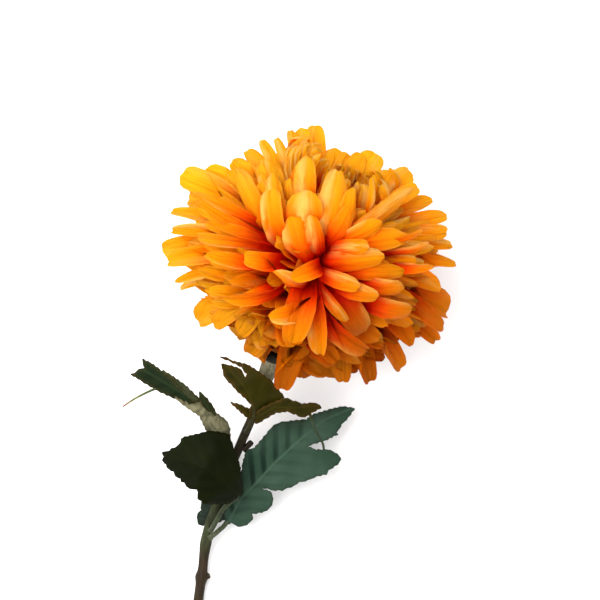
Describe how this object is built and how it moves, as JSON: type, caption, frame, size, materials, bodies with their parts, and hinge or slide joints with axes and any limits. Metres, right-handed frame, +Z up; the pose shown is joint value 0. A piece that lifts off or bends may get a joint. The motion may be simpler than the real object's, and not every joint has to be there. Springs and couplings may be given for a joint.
{
  "type": "artificial chrysanthemum stem",
  "caption": "Cut stem with one ball-shaped orange chrysanthemum head and lobed green leaves, made of cloth and moulded plastic, lying on its side.",
  "frame": {"origin": "on the surface that the stem lies on, under the middle of its box", "axes": "+Z up from the surface, +Y along the stem from the cut end towards the head, +X to the right seen from above with the head at the top"},
  "size_m": [0.1514, 0.3199, 0.1168],
  "materials": {
    "petal_cloth": "printed woven cloth, orange with a red root and a pale satin sheen at the tip",
    "calyx_plastic": "moulded grey-green plastic with a dark toothed rim",
    "stem_plastic": "moulded plastic, brown low down and green towards the head",
    "leaf_cloth_teal": "pressed cloth, blue-green, with a moulded rib",
    "leaf_cloth_dark": "pressed cloth, deep green",
    "leaf_cloth_grey": "pressed cloth, dark green above and grey-olive below",
    "leaf_cloth_olive": "pressed cloth, olive brown"
  },
  "bodies": {
    "root": {"bloom": "petal_cloth", "calyx": "calyx_plastic", "stem": "stem_plastic", "leaf_right": "leaf_cloth_teal", "leaf_front": "leaf_cloth_dark", "leaf_left": "leaf_cloth_grey", "leaf_upper": "leaf_cloth_olive"}
  },
  "joints": []
}
